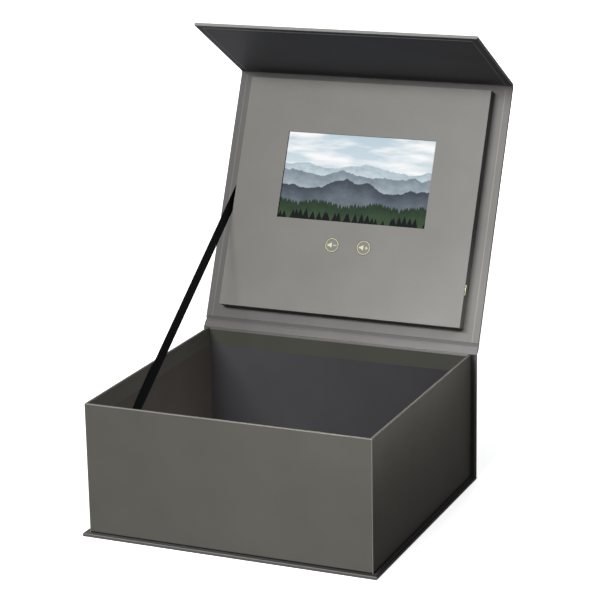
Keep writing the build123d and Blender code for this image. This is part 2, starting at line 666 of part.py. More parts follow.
def driver_pieces():
    """Driver board, what is soldered to it, and the foam blocks under it."""
    connector = (connector_edge() - CONNECTOR_DEPTH, connector_edge())
    connector_width = FLEX_WIDTH + 2 * CONNECTOR_WALL
    sensor_middle = (BOARD_RIGHT + SENSOR_PLACE, SOCKET_PLACE, BOARD_TOP + SENSOR[2] / 2)
    board_back = BOARD_TOP - PCB
    pad = Box(BOARD_PAD_WIDTH, BOARD_PAD_LENGTH, board_back)
    under_board = LID.location * Pos(BOARD_MIDDLE, BOARD_CENTRE, board_back / 2)
    pair = GridLocations(BOARD_PAD_PITCH, 0, 2, 1)
    return {
        "driver_board": driver_board(),
        "board_parts": board_parts(),
        "flex_connector": slab(
            LID, about(BOARD_MIDDLE, connector_width), connector, (BOARD_TOP, BOARD_TOP + CONNECTOR_HEIGHT)
        ),
        "usb_socket": usb_socket(),
        "hall_sensor": LID.location * Pos(*sensor_middle) * Box(*SENSOR),
        "board_pads": Compound([under_board * place * pad for place in pair]),
    }


# Buttons


def button_disc(across):
    """Paper-faced disc with a bevelled rim and a flange that keeps it behind the face."""
    bevel = EDGE_ROUND / 2
    profile = Polyline(
        (0, FLANGE_BACK), (BUTTON_RADIUS + FLANGE_WIDTH, FLANGE_BACK),
        (BUTTON_RADIUS + FLANGE_WIDTH, FLANGE_FRONT), (BUTTON_RADIUS, FLANGE_FRONT),
        (BUTTON_RADIUS, PANEL_THICKNESS - bevel), (BUTTON_RADIUS - bevel, PANEL_THICKNESS),
        (0, PANEL_THICKNESS), close=True,
    )
    disc = revolve(Plane.XZ * make_face(profile), Axis.Z)
    return LID.location * Pos(across, BUTTON_PLACE, 0) * disc


def button_pieces():
    """Two press discs, their switches and plungers, and the small board that carries them."""
    pieces = {}
    guide = SWITCH_TOP - PLUNGER_TRAVEL
    for name, across in BUTTONS.items():
        square = (about(across, SWITCH_SIZE), about(BUTTON_PLACE, SWITCH_SIZE))
        body = slab(LID, *square, (BUTTON_BOARD_TOP, SWITCH_TOP))
        bore = (guide - PLUNGER_TRAVEL, SWITCH_TOP)
        hole = post(LID, across, BUTTON_PLACE, PLUNGER_RADIUS + PLUNGER_CLEARANCE, bore)
        pieces[name + "_disc"] = button_disc(across)
        pieces[name + "_plunger"] = post(LID, across, BUTTON_PLACE, PLUNGER_RADIUS, (guide, FLANGE_BACK))
        pieces[name + "_switch"] = body - hole
    middle = sum(BUTTONS.values()) / len(BUTTONS)
    outline = RectangleRounded(BUTTON_BOARD_LENGTH, BUTTON_BOARD_WIDTH, CORNER_ROUND)
    board_back = BUTTON_BOARD_TOP - PCB
    pad_length = BUTTON_BOARD_LENGTH - 2 * BUTTON_PAD_INSET
    pieces["button_board"] = LID.location * Pos(middle, BUTTON_PLACE, board_back) * extrude(outline, PCB)
    pieces["button_pad"] = slab(
        LID, about(middle, pad_length), about(BUTTON_PLACE, BUTTON_PAD_WIDTH), (0, board_back)
    )
    return pieces


# Battery, speaker and wires


def battery():
    """Pouch cell with soft edges and a thin sealed terrace where its leads come out."""
    cell_end = BATTERY_RIGHT - BATTERY_TERRACE
    along = about(0, BATTERY_WIDTH)
    cell = slab(Plane.XY, (BATTERY_LEFT, cell_end), along, (0, BATTERY_THICKNESS))
    cell = fillet(cell.edges().filter_by(Axis.Z), BATTERY_ROUND)
    terrace = slab(
        Plane.XY, (cell_end - BATTERY_TERRACE, BATTERY_RIGHT), centred(BATTERY_WIDTH, TERRACE_INSET),
        (0, TERRACE_THICKNESS),
    )
    return LID.location * Pos(0, BATTERY_MIDDLE, 0) * (cell + terrace)


def speaker_pieces():
    """Round speaker: a shallow basket with a rim round its diaphragm."""
    place = (LID, SPEAKER_X, SPEAKER_PLACE)
    bowl = post(*place, SPEAKER_RADIUS - SPEAKER_LIP, (SPEAKER_FLOOR, SPEAKER_DEPTH))
    diaphragm = (SPEAKER_FLOOR, SPEAKER_FLOOR + DIAPHRAGM_HEIGHT)
    return {
        "speaker": post(*place, SPEAKER_RADIUS, (0, SPEAKER_DEPTH)) - bowl,
        "speaker_cone": post(*place, SPEAKER_RADIUS - SPEAKER_LIP, diaphragm),
    }


def wire_pair(route, bends, shift):
    """Two wires side by side along a route on the lid's lining."""
    section = RegularPolygon(WIRE_RADIUS, WIRE_SIDES)
    pair = []
    for step in (Vector(0, 0, 0), Vector(*shift).normalized() * WIRE_PITCH):
        corners = [LID.from_local_coords(Vector(*point) + step) for point in route]
        path = FilletPolyline(*corners, radius=bends)
        pair.append(sweep(Plane(origin=path @ 0, z_dir=path % 0) * section, path))
    return Compound(pair)


def wire_pieces():
    """Leads of the battery, the speaker and the buttons, which turn up under the driver board."""
    board_back = BOARD_TOP - PCB
    low = WIRE_RADIUS
    past_speaker = SPEAKER_PLACE + SPEAKER_RADIUS + WIRE_BEND
    terrace_end = BATTERY_RIGHT + WIRE_LEAD
    turn = BATTERY_RIGHT + WIRE_WAY
    plug = BOARD_LEFT + WIRE_PLUG
    battery_route = (
        (terrace_end, BATTERY_MIDDLE, low), (turn, BATTERY_MIDDLE, low), (turn, past_speaker, low),
        (plug, past_speaker, low), (plug, past_speaker, board_back),
    )
    speaker_route = (
        (SPEAKER_X + SPEAKER_RADIUS, SPEAKER_PLACE, low), (plug, SPEAKER_PLACE, low),
        (plug, SPEAKER_PLACE, board_back),
    )
    button_side = sum(BUTTONS.values()) / len(BUTTONS) + BUTTON_BOARD_LENGTH / 2 - WIRE_MARGIN
    board_end = BOARD_HIGH - WIRE_MARGIN
    button_route = (
        (button_side, BUTTON_PLACE, BUTTON_BOARD_TOP - PCB), (button_side, BUTTON_PLACE, low),
        (plug, BUTTON_PLACE, low), (plug, board_end, low), (plug, board_end, board_back),
    )
    return {
        "battery_leads": wire_pair(battery_route, [WIRE_BEND, WIRE_BEND, WIRE_TURN_UP], (-1, 1)),
        "speaker_leads": wire_pair(speaker_route, [WIRE_TURN_UP], (0, 1)),
        "button_leads": wire_pair(button_route, [WIRE_TURN_UP, WIRE_BEND, WIRE_TURN_UP], (-1, -1)),
    }


def parts():
    """Every piece of the object by name."""
    plain = (0, 0)
    round_all = (1, 1)
    base_span = centred(BASE_DEPTH)
    spine_span = (CASE, RIM)
    pieces = {
        "base_board": leaf_board(BASE, base_span, round_all),
        "base_cover": leaf_cover(BASE, base_span, round_all, BASE_BARE),
        "base_lining": leaf_lining(BASE, base_span, round_all, BASE_BARE),
        "spine_board": leaf_board(SPINE, spine_span, plain),
        "spine_cover": leaf_cover(SPINE, spine_span, plain, BASE_BARE),
        "spine_lining": leaf_lining(SPINE, spine_span, plain, BASE_BARE),
        "lid_board": leaf_board(LID, LID_SPAN, plain),
        "lid_cover": leaf_cover(LID, LID_SPAN, plain, LID_BARE),
        "lid_liner": leaf_lining(LID, LID_SPAN, plain, LID_BARE),
        "tray_bottom_board": tray_block(PAPER, (CASE + PAPER, TRAY_FLOOR)),
        "tray_wrap": tray_wrap(),
        "tray_lining": tray_lining(),
        "lid_hinge_paper": lid_hinge_paper(),
        "lid_hinge_liner": lid_hinge_liner(),
        "flap_hinge_paper": fold_strip((-CASE, PAPER - CASE)),
        "flap_hinge_liner": fold_strip((-PAPER, 0)),
        "ribbon_stay": ribbon_stay(),
        "panel_wrap": panel_wrap(),
        "panel_face_board": panel_face_board(),
        "display_flex": display_flex(),
        "battery": battery(),
    }
    for group in (
        flap_pieces, tray_walls, panel_frame, display_pieces, driver_pieces, button_pieces, speaker_pieces,
        wire_pieces,
    ):
        pieces.update(group())
    return pieces


os.makedirs("parts", exist_ok=True)
for name, piece in parts().items():
    export_step(piece, f"parts/{name}.step")
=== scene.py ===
import json
import math

import bmesh
import bpy
from mathutils import Matrix, Vector


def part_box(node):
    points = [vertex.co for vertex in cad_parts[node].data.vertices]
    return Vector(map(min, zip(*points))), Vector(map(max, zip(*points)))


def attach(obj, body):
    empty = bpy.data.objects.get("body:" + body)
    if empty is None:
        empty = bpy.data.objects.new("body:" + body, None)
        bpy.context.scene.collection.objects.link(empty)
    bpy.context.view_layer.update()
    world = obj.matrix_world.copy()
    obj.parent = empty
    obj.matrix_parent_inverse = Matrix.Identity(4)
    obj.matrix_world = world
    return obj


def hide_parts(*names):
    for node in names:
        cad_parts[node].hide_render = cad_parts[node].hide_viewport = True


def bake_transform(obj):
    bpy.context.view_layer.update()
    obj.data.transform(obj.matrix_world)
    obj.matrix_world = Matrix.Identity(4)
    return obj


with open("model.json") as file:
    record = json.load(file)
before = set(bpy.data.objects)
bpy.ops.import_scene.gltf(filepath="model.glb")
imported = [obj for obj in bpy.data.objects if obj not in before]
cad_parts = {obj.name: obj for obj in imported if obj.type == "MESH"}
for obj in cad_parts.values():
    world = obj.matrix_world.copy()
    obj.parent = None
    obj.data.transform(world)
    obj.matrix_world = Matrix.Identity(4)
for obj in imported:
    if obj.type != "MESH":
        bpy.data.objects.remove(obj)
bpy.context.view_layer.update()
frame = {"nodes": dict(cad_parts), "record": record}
joints = {joint["name"]: joint for joint in frame["record"]["behaviour"]["joints"]}


# Studio. A pale floor in a white surround, a large soft lamp in front and to the left, a little steeper
# than the open flap so that it lights the panel under it, weak lamps above and behind, and a strip lamp
# over the right side, whose light fades down that side and crosses to the left wall's inner face.

CAMERA_PLACE = Vector((0.78377, -1.75661, 0.74466))
CAMERA_TURN = math.radians(23.54)
CAMERA_RISE = math.radians(15.81)
CAMERA_ROLL = math.radians(-1.08)
CAMERA_LENS_MM = 132.18
MM = 0.001


def linear(code):
    """An sRGB colour written as #rrggbb, as linear values."""
    levels = [int(code[place:place + 2], 16) / 255 for place in (1, 3, 5)]
    light = [level / 12.92 if level <= 0.04045 else ((level + 0.055) / 1.055) ** 2.4 for level in levels]
    return (*light, 1.0)


def add(tree, kind, inputs=None, **settings):
    """Adds a node with its settings; an input is a value or the socket it is linked from."""
    made = tree.nodes.new(kind)
    for name, value in settings.items():
        setattr(made, name, value)
    for socket, value in (inputs or {}).items():
        if isinstance(value, bpy.types.NodeSocket):
            tree.links.new(value, made.inputs[socket])
        else:
            made.inputs[socket].default_value = value
    return made


def stand_camera():
    """Camera from its place, turn, rise and roll."""
    back = Vector((
        math.sin(CAMERA_TURN) * math.cos(CAMERA_RISE),
        -math.cos(CAMERA_TURN) * math.cos(CAMERA_RISE),
        math.sin(CAMERA_RISE),
    ))
    right = Vector((0, 0, 1)).cross(back).normalized()
    up = back.cross(right)
    rolled = Matrix.Rotation(CAMERA_ROLL, 3, back)
    axes = Matrix((rolled @ right, rolled @ up, back)).transposed()
    camera = bpy.data.objects.new("camera", bpy.data.cameras.new("camera"))
    camera.data.lens = CAMERA_LENS_MM
    camera.data.sensor_width = 36
    camera.data.clip_end = 20
    camera.matrix_world = Matrix.Translation(CAMERA_PLACE) @ axes.to_4x4()
    bpy.context.scene.collection.objects.link(camera)
    bpy.context.scene.camera = camera


def hang_lamp(name, place, target, width, height, power, beam=180):
    """A soft rectangular lamp that faces the target, with its beam's angle in degrees."""
    lamp = bpy.data.lights.new(name, "AREA")
    lamp.shape = "RECTANGLE"
    lamp.size = width
    lamp.size_y = height
    lamp.energy = power
    lamp.spread = math.radians(beam)
    hung = bpy.data.objects.new(name, lamp)
    hung.visible_camera = False
    facing = (Vector(place) - Vector(target)).to_track_quat("Z", "Y")
    hung.matrix_world = Matrix.Translation(place) @ facing.to_matrix().to_4x4()
    bpy.context.scene.collection.objects.link(hung)


def seen_rays(tree):
    """1 for the rays that show a background: camera, glossy and transmission rays."""
    path = add(tree, "ShaderNodeLightPath")
    pair = add(tree, "ShaderNodeMath", {0: path.outputs["Is Camera Ray"], 1: path.outputs["Is Glossy Ray"]},
               operation="MAXIMUM")
    return add(tree, "ShaderNodeMath", {0: pair.outputs[0], 1: path.outputs["Is Transmission Ray"]},
               operation="MAXIMUM").outputs[0]


def lay_floor():
    """Floor that throws little light back on the box; to the eye it is white, with the box's shadow,
    and fades into the surround."""
    mesh = bpy.data.meshes.new("floor")
    reach = 8.0
    mesh.from_pydata([(-reach, -reach, 0), (reach, -reach, 0), (reach, reach, 0), (-reach, reach, 0)], [],
                     [(0, 1, 2, 3)])
    floor = bpy.data.objects.new("floor", mesh)
    bpy.context.scene.collection.objects.link(floor)
    paint = bpy.data.materials.new("floor_paint")
    paint.use_nodes = True
    tree = paint.node_tree
    tree.nodes.clear()
    seen = seen_rays(tree)
    shade = add(tree, "ShaderNodeMix", {"Factor": seen, 6: linear("#606060"), 7: linear("#f8f8f8")},
                data_type="RGBA")
    matte = add(tree, "ShaderNodeBsdfDiffuse", {"Color": shade.outputs[2]})
    place = add(tree, "ShaderNodeTexCoord").outputs["Object"]
    away = add(tree, "ShaderNodeVectorMath", {0: place}, operation="LENGTH").outputs["Value"]
    haze = add(tree, "ShaderNodeMapRange", {"Value": away, 1: 0.6, 2: 2.0, 3: 0.68, 4: 1.0})
    lift = add(tree, "ShaderNodeMath", {0: seen, 1: haze.outputs[0]}, operation="MULTIPLY")
    glow = add(tree, "ShaderNodeEmission", {"Strength": lift.outputs[0]})
    both = add(tree, "ShaderNodeAddShader", {0: matte.outputs[0], 1: glow.outputs[0]})
    add(tree, "ShaderNodeOutputMaterial", {"Surface": both.outputs[0]})
    floor.data.materials.append(paint)


def light_world():
    """White surround to the eye; on the box a dim light, which is weaker from low on the right."""
    world = bpy.data.worlds.new("surround")
    world.use_nodes = True
    tree = world.node_tree
    tree.nodes.clear()
    way = add(tree, "ShaderNodeTexCoord").outputs["Generated"]
    parts = add(tree, "ShaderNodeSeparateXYZ", {0: way}).outputs
    right = add(tree, "ShaderNodeMapRange", {"Value": parts[0], 1: 0.0, 2: 0.6},
                interpolation_type="SMOOTHSTEP")
    low = add(tree, "ShaderNodeMapRange", {"Value": parts[2], 1: 0.3, 2: 0.7, 3: 1.0, 4: 0.0},
              interpolation_type="SMOOTHSTEP")
    shaded = add(tree, "ShaderNodeMath", {0: right.outputs[0], 1: low.outputs[0]}, operation="MULTIPLY")
    dim = add(tree, "ShaderNodeMix",
              {"Factor": shaded.outputs[0], 6: linear("#949597"), 7: linear("#1e1e20")}, data_type="RGBA")
    shade = add(tree, "ShaderNodeMix", {"Factor": seen_rays(tree), 6: dim.outputs[2], 7: linear("#ffffff")},
                data_type="RGBA")
    glow = add(tree, "ShaderNodeBackground", {"Color": shade.outputs[2], "Strength": 1.0})
    add(tree, "ShaderNodeOutputWorld", {"Surface": glow.outputs[0]})
    bpy.context.scene.world = world
    bpy.context.scene.view_settings.view_transform = "Standard"


stand_camera()
lay_floor()
light_world()
hang_lamp("front_lamp", (-0.7, -2.4, 2.1), (0, 0.1, 0.3), 2.0, 0.6, 100)
hang_lamp("top_lamp", (0.0, 0.35, 2.6), (0, 0, 0.1), 0.5, 0.5, 3)
hang_lamp("side_lamp", (0.25, -0.06, 0.28), (0.0924, -0.06, 0.1569), 0.36, 0.05, 0.138, beam=60)
hang_lamp("back_lamp", (-0.3, 2.6, 1.2), (0, 0, 0.2), 1.0, 0.8, 18)


# Covering paper. Pearlescent bronze-grey paper, 120 g, printed with mica ink and glued over greyboard.
# The mica gives it a silky half matt look and a slow shift between warm and cool grey; fibres show close up.


def beyond(tree, place, point, normal):
    """1 on the far side of a plane, which is the side its normal points away from."""
    away = add(tree, "ShaderNodeVectorMath", {0: place, 1: point}, operation="SUBTRACT")
    depth = add(tree, "ShaderNodeVectorMath", {0: away.outputs[0], 1: normal}, operation="DOT_PRODUCT")
    return add(tree, "ShaderNodeMath", {0: depth.outputs["Value"], 1: 0.0}, operation="LESS_THAN").outputs[0]


def highlit_edges(tree, place, middle, half):
    """1 along a block's upright corners and along the top of its front and back, where a highlight is painted
    to stand for the light those edges catch.
    """
    highlight_band = 0.7 * MM
    offset = add(tree, "ShaderNodeVectorMath", {0: place, 1: middle}, operation="SUBTRACT")
    sides = add(tree, "ShaderNodeSeparateXYZ", {0: offset.outputs[0]}).outputs
    wide, deep = (
        add(tree, "ShaderNodeMath", {0: side}, operation="ABSOLUTE").outputs[0] for side in sides[:2]
    )
    at_side, at_front, at_top = (
        add(tree, "ShaderNodeMath", {0: reach, 1: size - highlight_band}, operation="GREATER_THAN").outputs[0]
        for reach, size in zip((wide, deep, sides[2]), half)
    )
    either = add(tree, "ShaderNodeMath", {0: at_side, 1: at_top}, operation="MAXIMUM")
    return add(tree, "ShaderNodeMath", {0: either.outputs[0], 1: at_front}, operation="MULTIPLY").outputs[0]


def leaf_margins(tree, place, root, up, length):
    """How far a place on a leaf is from the nearer side edge and from the end edge."""
    offset = add(tree, "ShaderNodeVectorMath", {0: place, 1: root}, operation="SUBTRACT")
    along = add(tree, "ShaderNodeVectorMath", {0: offset.outputs[0], 1: up}, operation="DOT_PRODUCT")
    across = add(tree, "ShaderNodeSeparateXYZ", {0: place}).outputs[0]
    wide = add(tree, "ShaderNodeMath", {0: across}, operation="ABSOLUTE")
    side = add(tree, "ShaderNodeMath", {0: CASE_HALF, 1: wide.outputs[0]}, operation="SUBTRACT")
    end = add(tree, "ShaderNodeMath", {0: length, 1: along.outputs["Value"]}, operation="SUBTRACT")
    return side.outputs[0], end.outputs[0]


def lining_edge_highlight(tree, margins, outside, side_gain, end_gain):
    """How much paler the paper is painted along the cut edge of the lining, on a leaf's inner face only: a
    painted highlight where that edge catches the light.
    """
    bare = 6.5 * MM
    cut = 0.6 * MM  # half the line's width; a real cut edge is 0.2 mm wide, and it is drawn coarser to show
    side, end = margins
    near = add(tree, "ShaderNodeMath", {0: side, 1: end}, operation="MINIMUM")
    at_end = add(tree, "ShaderNodeMath", {0: end, 1: side}, operation="LESS_THAN")
    gain = add(tree, "ShaderNodeMapRange", {"Value": at_end.outputs[0], 3: side_gain - 1, 4: end_gain - 1})
    line = add(tree, "ShaderNodeMath", {0: near.outputs[0], 1: bare, 2: cut}, operation="COMPARE")
    inner = add(tree, "ShaderNodeMath", {0: line.outputs[0], 1: outside}, operation="SUBTRACT",
                use_clamp=True)
    return add(tree, "ShaderNodeMath", {0: inner.outputs[0], 1: gain.outputs[0], 2: 1.0},
               operation="MULTIPLY_ADD").outputs[0]


def paper(name, left, right, behind=(), edge_highlight=None, lined=None, rim=None, gloss=0.005):
    """Pearlescent paper with painted light: its colour runs from the left tone at the box's left to the right
    tone at its right, standing for light that falls unevenly across the box.

    behind: planes, each with a point, a normal and the tone beyond it.
    edge highlight: a block's middle, its half sizes and the pale tone of the highlight painted along its
    edges, where the light catches them.
    lined: a leaf's root, direction and length, and how many times paler the painted highlight along the
    lining's cut edge is at the sides and at the end; it shows on the near side of the last plane.
    rim: the tone of a painted highlight where the paper turns round that leaf's edges.
    """
    half_width = 140 * MM
    cloud = 45 * MM
    fibre = 0.5 * MM  # real fibres are 0.05 mm wide; drawn coarser to show
    spread = 0.04
    made = bpy.data.materials.new(name)
    made.use_nodes = True
    tree = made.node_tree
    shader = tree.nodes["Principled BSDF"]
    place = add(tree, "ShaderNodeTexCoord").outputs["Object"]
    across = add(tree, "ShaderNodeSeparateXYZ", {0: place}).outputs[0]
    # Painted light: the colour runs from the left tone to the right tone across the box.
    painted_light_across = add(tree, "ShaderNodeMapRange", {"Value": across, 1: -half_width, 2: half_width})
    tint = add(tree, "ShaderNodeMix", {"Factor": painted_light_across.outputs[0], 6: linear(left), 7: linear(right)},
               data_type="RGBA")
    clouds = add(tree, "ShaderNodeTexNoise", {"Vector": place, "Scale": 1 / cloud, "Detail": 3})
    fibres = add(tree, "ShaderNodeTexNoise", {"Vector": place, "Scale": 1 / fibre, "Detail": 4})
    slow = add(tree, "ShaderNodeMapRange",
               {"Value": clouds.outputs[0], 1: 0.3, 2: 0.7, 3: 1 - spread, 4: 1 + spread})
    fine = add(tree, "ShaderNodeMapRange",
               {"Value": fibres.outputs[0], 1: 0.3, 2: 0.7, 3: 1 - spread, 4: 1 + spread})
    level = add(tree, "ShaderNodeMath", {0: slow.outputs[0], 1: fine.outputs[0]}, operation="MULTIPLY")
    tones = [(beyond(tree, place, point, normal), tone) for point, normal, tone in behind]
    if lined:
        root, up, length, side_gain, end_gain = lined
        margins = leaf_margins(tree, place, root, up, length)
        # Painted highlight along the lining's cut edge.
        highlight_gain = lining_edge_highlight(tree, margins, tones[-1][0], side_gain, end_gain)
        level = add(tree, "ShaderNodeMath", {0: level.outputs[0], 1: highlight_gain}, operation="MULTIPLY")
        # Painted highlight: the paper is painted paler where it turns round the leaf's edges.
        if rim:
            near = add(tree, "ShaderNodeMath", {0: margins[0], 1: margins[1]}, operation="MINIMUM")
            turned = add(tree, "ShaderNodeMath", {0: near.outputs[0], 1: SKIN}, operation="LESS_THAN")
            tones.append((turned.outputs[0], rim))
    # Painted highlight along a block's edges.
    if edge_highlight:
        middle, half, tone = edge_highlight
        tones.append((highlit_edges(tree, place, middle, half), tone))
    for where, tone in tones:
        tint = add(tree, "ShaderNodeMix", {"Factor": where, 6: tint.outputs[2], 7: linear(tone)},
                   data_type="RGBA")
    colour = add(tree, "ShaderNodeVectorMath", {0: tint.outputs[2], 1: level.outputs[0]},
                 operation="MULTIPLY")
    tree.links.new(colour.outputs[0], shader.inputs["Base Color"])
    relief = add(tree, "ShaderNodeBump",
                 {"Height": fibres.outputs[0], "Strength": 0.1, "Distance": 0.05 * MM})
    tree.links.new(relief.outputs[0], shader.inputs["Normal"])
    shader.inputs["Roughness"].default_value = 0.5
    shader.inputs["Specular IOR Level"].default_value = gloss
    return made


def dress(material, *nodes):
    """Gives CAD pieces their finish."""
    for name in nodes:
        piece = frame["nodes"][name]
        if not piece.material_slots:
            piece.data.materials.append(material)
        for slot in piece.material_slots:
            slot.material = material


LID_AXIS = Vector(joints["lid_hinge"]["pos_m"])
FLAP_AXIS = Vector(joints["flap_hinge"]["pos_m"])
ACROSS = Vector((1, 0, 0))
LID_UP = (FLAP_AXIS - LID_AXIS).normalized()
LID_OUT = ACROSS.cross(LID_UP)
FLAP_FOLD = math.radians(-joints["flap_hinge"]["range_deg"][0])
FLAP_UP = Matrix.Rotation(FLAP_FOLD, 3, ACROSS) @ LID_UP
FLAP_OUT = ACROSS.cross(FLAP_UP)
FLAP_LONG = max((vertex.co - FLAP_AXIS).dot(FLAP_UP) for vertex in frame["nodes"]["flap_cover"].data.vertices)
SKIN = 0.35 * MM  # a little more than the paper
HAIR = 0.1 * MM  # a plane this far under a face has only the face beyond it
# Painted shade: the tray is painted dark up to this height above its foot.
FOOT_SHADE = 1.3 * MM  # height of the dark line where the tray stands on the base
WALL_DEPTH = 3.2 * MM  # a little more than a tray wall with its papers
PANEL_THICK = 11.0 * MM
BASE_HIGH = Vector(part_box("base_cover")[1])
BASE_MIDDLE = Vector((0, 0, BASE_HIGH.z / 2))
CASE_HALF = BASE_HIGH.x
TRAY_LOW, TRAY_HIGH = (Vector(corner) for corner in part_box("tray_wrap"))
BASE_TOP = Vector((0, 0, BASE_HIGH.z - HAIR))
TRAY_FOOT = Vector((0, 0, TRAY_LOW.z + FOOT_SHADE))
BACK_WALL = Vector((0, TRAY_HIGH.y - WALL_DEPTH, 0))
LID_SKIN = LID_AXIS - LID_OUT * SKIN
FLAP_SKIN = FLAP_AXIS - FLAP_OUT * SKIN
PANEL_SKIN = LID_AXIS + LID_OUT * (PANEL_THICK - SKIN)

# The tone pairs below are painted light: the papers are painted lighter towards the box's right, where more
# light falls; the lining is painted lighter towards the left, and the flap's pair is even.
outer_paper = paper("pearl_paper_outside", "#5f5e59", "#65645f")
inner_paper = paper("pearl_paper_inside", "#6a6967", "#868482")
# The base's upper face and the tray's foot are painted dark: painted shade where the tray stands on the base.
# The pale edge tones of the base and the tray below are painted highlights along their edges.
base_paper = paper("pearl_paper_base", "#5f5e5b", "#656461", behind=[(BASE_TOP, (0, 0, -1), "#2b2a27")],
                   edge_highlight=(BASE_MIDDLE, BASE_HIGH - BASE_MIDDLE, "#82817e"))
# Inside the back wall the turned-in paper is painted darker: painted shade inside the tray.
tray_paper = paper("pearl_paper_tray", "#605f59", "#6a6862",
                   behind=[(BACK_WALL, (0, -1, 0), "#4d4d47"), (TRAY_FOOT, (0, 0, 1), "#282824")],
                   edge_highlight=((TRAY_LOW + TRAY_HIGH) / 2, (TRAY_HIGH - TRAY_LOW) / 2, "#8e8d86"))
# The lid's lining has a cut edge at its sides only, with a painted highlight along it: its end runs on over
# the fold, so a length of 1 m is given. The flap's has one at its end too, and its paper is also painted
# paler round its edges: painted highlights.
lid_paper = paper("pearl_paper_lid", "#6a6968", "#8c8a87", behind=[(LID_SKIN, LID_OUT, "#62615c")],
                  lined=(LID_AXIS, LID_UP, 1.0, 1.3, 1.3))
flap_paper = paper("pearl_paper_flap", "#646467", "#646467", behind=[(FLAP_SKIN, FLAP_OUT, "#62615c")],
                   lined=(FLAP_AXIS, FLAP_UP, FLAP_LONG, 2.0, 5.5), rim="#8f8e8b", gloss=0.02)
# The panel's sides are painted a shade darker than its face: painted shade.
panel_paper = paper("pearl_paper_panel", "#7f7e79", "#93928f", behind=[(PANEL_SKIN, LID_OUT, "#72706d")])
dress(base_paper, "base_cover")
dress(tray_paper, "tray_wrap")
dress(outer_paper, "spine_cover")
dress(flap_paper, "flap_cover", "flap_liner")
dress(lid_paper, "lid_cover", "lid_liner")
dress(panel_paper, "panel_wrap", "volume_down_disc", "volume_up_disc")


# Hinges. The covering paper and the lining run over the gaps between the boards, with no board in them,
# so that the case folds there. Each strip is glued at both sides and bends along its middle.

PAPER = 0.25 * MM
CASE_THICK = 3.0 * MM
FOLD_GAP = 3.0 * MM
LID_GAP = 10.0 * MM
HINGE_BOW = 1.2 * MM  # slack of the outer strip at the spine
HINGE_LEAN = 4.9 * MM  # inner strip, up and back from the rim to its first fold
GROOVE_REACH = 2.1 * MM  # from that fold back to the groove's bottom
GROOVE_ROUND = 1.0 * MM
FOLD_ROUND = 0.6 * MM
RIM_OVERHANG = 1.5 * MM  # paper turned down inside the rear rim
RIM_LOW, RIM_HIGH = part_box("spine_cover")
TRAY_BACK = RIM_LOW[1]
RIM = RIM_HIGH[2]
STEPS = 10
CORNER_STEPS = 4


def on_lid(across, up, out):
    """A point by its distances across the lid, up from the lid's axis and out of its inner face."""
    return LID_AXIS + ACROSS * across + LID_UP * up + LID_OUT * out


def on_flap(across, up, out):
    """The same for the flap, from the flap's axis."""
    return FLAP_AXIS + ACROSS * across + FLAP_UP * up + FLAP_OUT * out


def new_piece(name, points, faces, material):
    """A mesh object at the origin with one material."""
    mesh = bpy.data.meshes.new(name)
    mesh.from_pydata([tuple(point) for point in points], [], faces)
    mesh.materials.append(material)
    made = bpy.data.objects.new(name, mesh)
    bpy.context.scene.collection.objects.link(made)
    return made


def strip(name, line, thickness, half_width, material):
    """Paper as wide as the case whose section follows a line of points in the YZ plane."""
    sides = []
    for place, point in enumerate(line):
        before = line[max(place - 1, 0)]
        after = line[min(place + 1, len(line) - 1)]
        normal = ACROSS.cross(after - before).normalized() * thickness / 2
        sides.append((point + normal, point - normal))
    points = []
    for upper, lower in sides:
        points += [upper - ACROSS * half_width, upper + ACROSS * half_width,
                   lower + ACROSS * half_width, lower - ACROSS * half_width]
    faces = [(0, 1, 2, 3)]
    for row in range(len(line) - 1):
        base = row * 4
        for corner in range(4):
            other = (corner + 1) % 4
            faces.append((base + corner, base + 4 + corner, base + 4 + other, base + other))
    end = (len(line) - 1) * 4
    faces.append((end + 3, end + 2, end + 1, end))
    made = new_piece(name, points, faces, material)
    outward(made)
    return made


def outward(piece):
    """Turns a closed mesh's faces outwards."""
    work = bmesh.new()
    work.from_mesh(piece.data)
    bmesh.ops.recalc_face_normals(work, faces=work.faces)
    work.to_mesh(piece.data)
    work.free()


def arc(start, end, tangent, steps):
    """Points on the arc from start to end that leaves along the tangent, in the YZ plane."""
    chord = end - start
    normal = ACROSS.cross(tangent)
    radius = chord.length_squared / (2 * chord.dot(normal))
    centre = start + normal * radius
    turn = 2 * math.atan2(chord.dot(normal), chord.dot(tangent))
    spoke = start - centre
    return [centre + Matrix.Rotation(turn * step / steps, 3, ACROSS) @ spoke for step in range(steps + 1)]


def bowed(start, end, bow, steps):
    """Points on a shallow curve from start to end that swells by the bow."""
    side = ACROSS.cross(end - start).normalized() * -bow
    shares = [step / steps for step in range(steps + 1)]
    return [start.lerp(end, share) + side * math.sin(math.pi * share) for share in shares]


def rounded(corners, reach, steps):
    """A line through the corners with each inner corner turned into a short curve."""
    line = [corners[0]]
    for before, corner, after in zip(corners, corners[1:], corners[2:]):
        start = corner + (before - corner).normalized() * min(reach, (before - corner).length / 2)
        end = corner + (after - corner).normalized() * min(reach, (after - corner).length / 2)
        for step in range(steps + 1):
            share = step / steps
            line.append(start.lerp(corner, share).lerp(corner.lerp(end, share), share))
    return [*line, corners[-1]]


